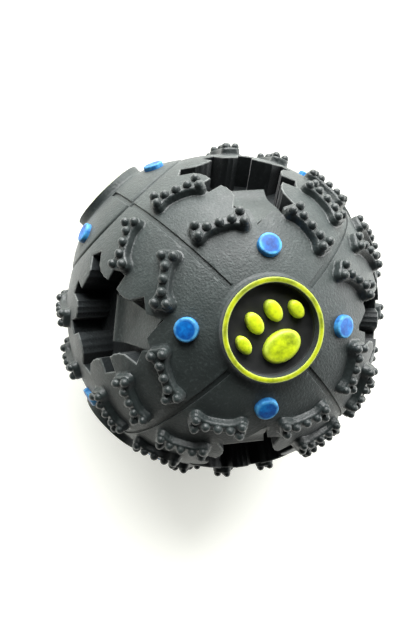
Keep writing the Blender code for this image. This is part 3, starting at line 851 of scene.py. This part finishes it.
def seat_profile():
    """The stepped hole for the end cap, with its edge on the ball eased."""
    wall = CAP_RADIUS + SEAM_GAP + SEAM_SHIFT
    eased = wall + SEAT_EDGE
    out, down = SEAT_EDGE_MIDDLE
    rim_bottom = CAP_RIM_BOTTOM - SEAM_GAP
    skirt = CAP_SKIRT_RADIUS + SEAM_GAP
    skirt_end = CAP_SKIRT_END - CUT_PAST
    return [
        (0, BALL + CUT_PAST),
        (eased, BALL + CUT_PAST),
        (eased, height_at(eased) + SEAT_PROUD),
        (wall + out, height_at(wall) - down),
        (wall, height_at(wall) - SEAT_EDGE_DEPTH),
        (wall, rim_bottom),
        (skirt, rim_bottom),
        (skirt, skirt_end),
        (0, skirt_end),
    ]


def make_shell(*rubbers):
    """The ball's rubber moulding: what stands on it is joined first, then the hollows are cut."""
    bm = bmesh.new()
    bmesh.ops.create_icosphere(bm, subdivisions=BALL_SUBDIVISIONS, radius=BALL)
    shell = make_object("ball_skin", bm, *rubbers)
    lips = [medallion_frame(name) for name in MEDALLIONS if name != CAP_MEDALLION]
    bones = list(bone_frames())
    pockets = list(pocket_frames())
    recess = block_profile(RECESS_RADIUS, BALL + CUT_PAST, RECESS_FLOOR)

    def add_lip(bm, place):
        lathe(bm, lip_profile(), MEDALLION_SEGMENTS, place)

    def add_recess(bm, place):
        lathe(bm, recess, MEDALLION_SEGMENTS, place)

    carve(shell, gathered("lips", add_lip, lips), "UNION")
    carve(shell, gathered("bones", add_bone, bones), "UNION")
    carve(shell, gathered("studs", add_studs, bones), "UNION")
    carve(shell, gathered("recesses", add_recess, lips), "DIFFERENCE")
    carve(shell, make_ball_grooves(), "DIFFERENCE")
    carve(shell, gathered("pockets", add_pocket_cutter, pockets), "DIFFERENCE")
    carve(shell, gathered("tongues", add_tongue_cutter, pockets), "DIFFERENCE")

    hollow = bmesh.new()
    bmesh.ops.create_icosphere(hollow, subdivisions=CAVITY_SUBDIVISIONS, radius=CAVITY)
    carve(shell, make_object("hollow", hollow), "DIFFERENCE")
    along_cap = frame_towards(CAP_AXIS, Z_AXIS)
    boss = block_profile(SOCKET_BOSS_RADIUS, SOCKET_RIM, SOCKET_FLOOR - CUT_PAST)
    bore = block_profile(SOCKET_RADIUS, SOCKET_RIM + CUT_PAST, SOCKET_FLOOR)
    carve(shell, lathe_body("boss", boss, CAP_SEGMENTS, along_cap), "UNION")
    carve(shell, lathe_body("bore", bore, CAP_SEGMENTS, along_cap), "DIFFERENCE")
    off_centre = Matrix.Translation(Z_AXIS * SEAM_SHIFT) @ along_cap
    carve(shell, lathe_body("seat", seat_profile(), CAP_SEGMENTS, off_centre), "DIFFERENCE")
    smooth_faces(shell)
    return shell


def cap_profile():
    """The cap's section, from the middle of its recess over the dome, round the edge and under."""
    dome = CAP_DOME + CAP_PROUD
    start = math.asin((LIP_RADIUS + LIP_FOOT) / dome)
    end = math.asin((CAP_RADIUS - CAP_EDGE) / dome)
    arc = [start + (end - start) * i / CAP_ARC_STEPS for i in range(CAP_ARC_STEPS + 1)]
    edge = CAP_DOME_MIDDLE + height_at(CAP_RADIUS, dome)
    return [
        (0, RECESS_FLOOR + CAP_RISE),
        (RECESS_RADIUS, RECESS_FLOOR + CAP_RISE),
        (RECESS_RADIUS, LIP_TOP + CAP_RISE),
        *[(radius, height + CAP_RISE) for radius, height in lip_wall()],
        *[(dome * math.sin(a), CAP_DOME_MIDDLE + dome * math.cos(a)) for a in arc],
        (CAP_RADIUS - EASED_SHARE * CAP_EDGE, edge - CAP_EDGE_DROP * CAP_EDGE),
        (CAP_RADIUS, edge - CAP_EDGE),
        (CAP_RADIUS, CAP_RIM_BOTTOM),
        (CAP_SKIRT_RADIUS, CAP_RIM_BOTTOM),
        (CAP_SKIRT_RADIUS, CAP_SKIRT_END),
        (SOCKET_RADIUS, CAP_SKIRT_END),
        (SOCKET_RADIUS, CAP_SHOULDER),
        (CAP_SHOULDER_RADIUS, CAP_SHOULDER),
        (CAP_SHOULDER_RADIUS, CAP_PLATE_BOTTOM),
        (0, CAP_PLATE_BOTTOM),
    ]


def make_cap(*rubbers):
    bm = bmesh.new()
    lathe(bm, cap_profile(), CAP_SEGMENTS, medallion_frame(CAP_MEDALLION))
    cap = make_object("cap_skin", bm, *rubbers)
    carve(cap, make_cap_grooves(), "DIFFERENCE")
    smooth_faces(cap)
    return cap


# Medallions


def make_turned(name, profile, segments, place, material):
    """A piece spun from one profile, in one material."""
    bm = bmesh.new()
    lathe(bm, profile, segments, place)
    piece = make_object(name, bm, material)
    smooth_faces(piece)
    return piece


def make_ring(name, lime):
    """The painted band on a lip's top, rounded over at both edges."""
    rounding = quarter_round(RING_ROUND, RING_ROUND_STEPS)
    outside = LIP_RADIUS - RING_INSET
    inside = RECESS_RADIUS + RING_GAP
    outer = [(outside - reach, RING_TOP - depth, 1) for depth, reach in rounding]
    inner = [(inside + reach, RING_TOP - depth, 1) for depth, reach in reversed(rounding)]
    third = (outside - inside) / 3
    crown = [(outside - third, RING_TOP + RING_CROWN), (inside + third, RING_TOP + RING_CROWN)]
    foot = LIP_TOP - RING_SINK
    profile = [(outside, foot, 1), *outer, *crown, *inner, (inside, foot, 1), (outside, foot, 1)]
    return make_turned(
        f"{name}_ring_band", profile, MEDALLION_SEGMENTS, medallion_seat(name), lime
    )


def make_disc(name, black):
    """The smooth floor inside a lip."""
    radius = RECESS_RADIUS - DISC_GAP
    profile = [
        (0, DISC_TOP),
        *[(radius - inward, DISC_TOP + up) for inward, up in DISC_CORNER],
        (radius, DISC_BOTTOM),
        (0, DISC_BOTTOM),
    ]
    return make_turned(
        f"{name}_disc_face", profile, MEDALLION_SEGMENTS, medallion_seat(name), black
    )


def add_pad(bm, place, x, y, width, length):
    """One oval pad with steep sides and a softly domed top."""
    angles = [2 * math.pi * i / PAD_SEGMENTS for i in range(PAD_SEGMENTS)]
    loops = []
    for up, share, edge in PAD_LEVELS:
        across = width / 2 * share
        along = length / 2 * share
        loops.append([
            place @ Vector((x + across * math.cos(a), y + along * math.sin(a), DISC_TOP + up))
            for a in angles
        ])
    stack(bm, loops, edges=[edge for up, share, edge in PAD_LEVELS])


def make_paw(name, lime):
    place = medallion_seat(name) @ Matrix.Rotation(-PAW_TWIST, 4, "Z")
    bm = bmesh.new()
    add_pad(bm, place, *MAIN_PAD)
    for side, forward, width, length in (INNER_TOE, OUTER_TOE):
        add_pad(bm, place, side, forward, width, length)
        add_pad(bm, place, -side, forward, width, length)
    paw = make_object(f"{name}_paw", bm, lime)
    smooth_faces(paw)
    return paw


def make_button(name, number, blue):
    """A flat button, rounded at its edge, sunk a little way into the ball or the cap's dome."""
    turn = Matrix.Rotation(math.pi / 4 + (number - 1) * math.pi / 2, 4, "Z")
    if name == CAP_MEDALLION:
        tilt = math.asin(BALL * math.sin(BUTTON_TILT) / CAP_DOME)
        seat = raised(CAP_DOME_MIDDLE) @ Matrix.Rotation(tilt, 4, "Y") @ raised(CAP_DOME)
    else:
        seat = Matrix.Rotation(BUTTON_TILT, 4, "Y") @ raised(BALL)
    profile = [
        (0, -BUTTON_ROOT),
        (BUTTON_RADIUS + BUTTON_DRAFT, -BUTTON_ROOT),
        *[
            (BUTTON_RADIUS - reach, BUTTON_HEIGHT - depth, 1)
            for depth, reach in quarter_round(BUTTON_EDGE, BUTTON_EDGE_STEPS)
        ],
        *[(BUTTON_RADIUS * share, BUTTON_HEIGHT + rise) for share, rise in BUTTON_CROWN],
    ]
    place = medallion_frame(name) @ turn @ seat
    return make_turned(f"{name}_button_{number}", profile, BUTTON_SEGMENTS, place, blue)


# Materials

# A Mix node's sockets for colours
MIX_FIRST = 6
MIX_SECOND = 7
MIX_RESULT = 2


class Nodes:
    """Short ways to add nodes to a tree and join them."""

    def __init__(self, tree):
        self.tree = tree

    def add(self, kind, **settings):
        node = self.tree.nodes.new(kind)
        for name, value in settings.items():
            setattr(node, name, value)
        return node

    def feed(self, socket, value):
        """Give a socket a number or a colour, or join another node's output to it."""
        if isinstance(value, bpy.types.NodeSocket):
            self.tree.links.new(value, socket)
        elif isinstance(value, tuple):
            socket.default_value = (*value, 1)
        else:
            socket.default_value = value

    def calculate(self, operation, first, second):
        node = self.add("ShaderNodeMath", operation=operation)
        self.feed(node.inputs[0], first)
        self.feed(node.inputs[1], second)
        return node.outputs[0]

    def range(self, value, low, high, start=0.3, end=0.7):
        """From low to high, as a value goes from start to end."""
        node = self.add("ShaderNodeMapRange")
        self.feed(node.inputs["Value"], value)
        self.feed(node.inputs["From Min"], start)
        self.feed(node.inputs["From Max"], end)
        self.feed(node.inputs["To Min"], low)
        self.feed(node.inputs["To Max"], high)
        return node.outputs["Result"]


class Finish(Nodes):
    """A procedural material on object coordinates, built up node by node."""

    def __init__(self, name, roughness=0.5, metallic=0.0):
        self.material = bpy.data.materials.new(name)
        self.material.use_nodes = True
        super().__init__(self.material.node_tree)
        self.shader = self.tree.nodes["Principled BSDF"]
        self.set("Roughness", roughness)
        self.set("Metallic", metallic)
        self.place = self.add("ShaderNodeTexCoord").outputs["Object"]

    def set(self, name, value):
        self.feed(self.shader.inputs[name], value)

    def noise(self, grain, detail=3.0, roughness=0.55):
        """Noise whose marks are about this many metres across."""
        node = self.add("ShaderNodeTexNoise")
        self.feed(node.inputs["Vector"], self.place)
        self.feed(node.inputs["Scale"], 1 / grain)
        self.feed(node.inputs["Detail"], detail)
        self.feed(node.inputs["Roughness"], roughness)
        return node.outputs["Fac"]

    def ramp(self, value, places, colours):
        """Colours along a value, each at its place."""
        node = self.add("ShaderNodeValToRGB")
        elements = node.color_ramp.elements
        while len(elements) < len(places):
            elements.new(1.0)
        for element, at, colour in zip(elements, places, colours):
            element.position = at
            element.color = (*colour, 1)
        self.feed(node.inputs["Fac"], value)
        return node.outputs["Color"]

    def mix(self, share, first, second):
        node = self.add("ShaderNodeMix", data_type="RGBA")
        self.feed(node.inputs["Factor"], share)
        self.feed(node.inputs[MIX_FIRST], first)
        self.feed(node.inputs[MIX_SECOND], second)
        return node.outputs[MIX_RESULT]

    def bump(self, value, depth):
        """Bump of this depth in metres."""
        node = self.add("ShaderNodeBump")
        self.feed(node.inputs["Strength"], 1.0)
        self.feed(node.inputs["Distance"], depth)
        self.feed(node.inputs["Height"], value)
        return node.outputs["Normal"]

    def edge(self):
        """How near the point is to a painted edge."""
        return self.add("ShaderNodeAttribute", attribute_name=EDGE).outputs["Fac"]


def rubber_finish(name, colours, smooth):
    """Matte charcoal rubber with a fine grain and a little dust."""
    made = Finish(name)
    made.set("Sheen Weight", RUBBER_SHEEN)
    made.set("Sheen Roughness", RUBBER_SHEEN_ROUGHNESS)
    colour = made.ramp(made.noise(RUBBER_CLOUD, detail=5.0), RUBBER_PLACES, colours)
    specks = made.range(made.noise(DUST_SPECK, detail=2.0), 0.0, DUST_SHARE, *DUST_PLACES)
    made.set("Base Color", made.mix(specks, colour, tuple(DUST * part for part in colours[-1])))
    polish = made.noise(RUBBER_POLISH)
    made.set("Roughness", made.range(polish, smooth, smooth + RUBBER_POLISH_SPREAD))
    made.set("Normal", made.bump(made.noise(RUBBER_GRAIN, detail=2.0), RUBBER_GRAIN_DEPTH))
    return made.material


def paint_finish(name, colours, pale_wear_and_highlight, look):
    """Mottled paint, darker where it is thin and paler along its edges, partly from wear and
    partly as a painted highlight.
    """
    made = Finish(name)
    made.set("Specular IOR Level", look["specular"])
    cloud = made.noise(look["cloud"], detail=4.0, roughness=look["cloud_roughness"])
    colour = made.ramp(cloud, look["places"], colours)
    # Pale patches along the edges: partly worn paint, partly a painted highlight
    wear_and_highlight_patches = made.range(made.noise(look["wear_and_highlight_patches"], detail=2.0), *look["wear_and_highlight_patch_shares"])
    wear_and_highlight = made.calculate("MULTIPLY", made.edge(), wear_and_highlight_patches)
    made.set("Base Color", made.mix(wear_and_highlight, colour, pale_wear_and_highlight))
    made.set("Roughness", made.range(made.noise(PAINT_POLISH), *look["polish"]))
    made.set("Normal", made.bump(made.noise(look["grain"], detail=2.0), look["depth"]))
    return made.material


def black_finish():
    """Smooth black rubber."""
    made = Finish("black_smooth_rubber")
    made.set("Base Color", made.ramp(made.noise(BLACK_CLOUD), BLACK_PLACES, BLACK))
    made.set("Roughness", made.range(made.noise(BLACK_POLISH), *BLACK_ROUGHNESS))
    made.set("Normal", made.bump(made.noise(BLACK_GRAIN, detail=2.0), BLACK_GRAIN_DEPTH))
    return made.material


def inside_finish(name, dark, light, roughness, grain, depth, metallic):
    """A moulded, pressed or turned finish for the pieces inside."""
    made = Finish(name, roughness, metallic)
    value = made.noise(grain)
    made.set("Base Color", made.ramp(value, INSIDE_PLACES, (dark, light)))
    made.set("Normal", made.bump(value, depth))
    return made.material


# Stage


def make_floor():
    """A white table that keeps the ball's shadow, and is plain white further away."""
    bm = bmesh.new()
    bmesh.ops.create_grid(bm, x_segments=1, y_segments=1, size=FLOOR_HALF)
    bmesh.ops.translate(bm, vec=(0, 0, cad_box[0].z), verts=bm.verts)
    material = bpy.data.materials.new("white_table")
    material.use_nodes = True
    nodes = Nodes(material.node_tree)
    nodes.tree.nodes.clear()
    table = nodes.add("ShaderNodeBsdfDiffuse")
    nodes.feed(table.inputs["Color"], FLOOR_COLOUR)
    rays = nodes.add("ShaderNodeLightPath").outputs
    seen = nodes.calculate("MAXIMUM", rays["Is Camera Ray"], rays["Is Glossy Ray"])
    away = nodes.add("ShaderNodeVectorMath", operation="LENGTH")
    nodes.feed(away.inputs[0], nodes.add("ShaderNodeTexCoord").outputs["Object"])
    whiter = nodes.range(away.outputs["Value"], FLOOR_GLOW, 1.0, SHADOW_REACH, WHITE_FROM)
    glow = nodes.add("ShaderNodeEmission")
    nodes.feed(glow.inputs["Color"], GLOW_COLOUR)
    nodes.feed(glow.inputs["Strength"], nodes.calculate("MULTIPLY", seen, whiter))
    both = nodes.add("ShaderNodeAddShader")
    nodes.feed(both.inputs[0], table.outputs[0])
    nodes.feed(both.inputs[1], glow.outputs[0])
    output = nodes.add("ShaderNodeOutputMaterial")
    nodes.feed(output.inputs["Surface"], both.outputs[0])
    floor = make_object("floor", bm, material)


def make_world():
    """Light from white screens all round, dark overhead, and white where the camera looks.

    The screens are brighter on the side of the right medallion.
    """
    world = bpy.data.worlds.new("studio")
    bpy.context.scene.world = world
    world.use_nodes = True
    nodes = Nodes(world.node_tree)
    parts = nodes.add("ShaderNodeSeparateXYZ")
    nodes.feed(parts.inputs[0], nodes.add("ShaderNodeTexCoord").outputs["Generated"])
    screens = nodes.range(parts.outputs["Z"], SCREEN_LEVEL, WORLD_LEVEL, 0.0, SCREEN_TOP)
    brighter = nodes.range(parts.outputs["X"], 1 - SCREEN_LEAN, 1 + SCREEN_LEAN, -1.0, 1.0)
    leaning = nodes.calculate("MULTIPLY", screens, brighter)
    seen = nodes.add("ShaderNodeLightPath").outputs["Is Camera Ray"]
    light = nodes.tree.nodes["Background"]
    nodes.feed(light.inputs["Color"], WHITE)
    nodes.feed(light.inputs["Strength"], nodes.range(seen, leaning, 1.0, 0.0, 1.0))


def make_lamp(name, spot, size, power):
    data = bpy.data.lights.new(name, "AREA")
    data.shape = "DISK"
    data.size = size
    data.energy = power
    lamp = bpy.data.objects.new(name, data)
    lamp.location = spot
    lamp.rotation_euler = (-Vector(spot)).to_track_quat("-Z", "Y").to_euler()
    bpy.context.scene.collection.objects.link(lamp)


def make_camera():
    data = bpy.data.cameras.new("camera")
    data.lens = CAMERA_LENS
    data.sensor_width = CAMERA_SENSOR
    data.clip_start = CAMERA_CLIP
    camera = bpy.data.objects.new("camera", data)
    turn = Matrix((CAMERA_RIGHT, CAMERA_UP, CAMERA_BACK)).transposed().to_4x4()
    camera.matrix_world = Matrix.Translation(CAMERA_SPOT) @ turn
    bpy.context.scene.collection.objects.link(camera)
    bpy.context.scene.camera = camera


def dress(piece, slot, *nodes):
    """Let a piece ride on the ball and stand for CAD nodes. The slot is not used."""
    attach(piece, BODY)
    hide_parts(*nodes)


# The scene

make_camera()

rubbers = [rubber_finish(name, *look) for name, look in RUBBERS.items()]
lime = paint_finish("lime_paint", LIME, LIME_WEAR_AND_HIGHLIGHT, LIME_PAINT)
ring_lime = paint_finish("lime_ring_paint", RING_LIME, RING_WEAR_AND_HIGHLIGHT, LIME_PAINT)
blue = paint_finish("blue_paint", BLUE, BLUE_WEAR_AND_HIGHLIGHT, BLUE_PAINT)
black = black_finish()
inside = {slot: inside_finish(*look) for slot, look in INSIDE.items()}

dress(make_shell(*rubbers), "charcoal_rubber", "ball_shell")
dress(make_cap(*rubbers[:TREAD]), "charcoal_rubber", "end_cap")
for name in MEDALLIONS:
    dress(make_ring(name, ring_lime), "lime_vinyl", f"{name}_ring")
    dress(make_disc(name, black), "black_rubber", f"{name}_paw_disc")
    dress(make_paw(name, lime), "lime_vinyl", f"{name}_paw_disc")
    for number in range(1, BUTTONS + 1):
        dress(make_button(name, number, blue), "blue_vinyl", f"{name}_stud_{number}")

for row in frame["record"]["subparts"]:
    if row["material_slot"] in inside:
        mesh = frame["nodes"][row["node"]].data
        mesh.materials.clear()
        mesh.materials.append(inside[row["material_slot"]])

make_floor()
make_world()
for name, look in LAMPS.items():
    make_lamp(name, *look)
bpy.context.scene.view_settings.view_transform = "Standard"
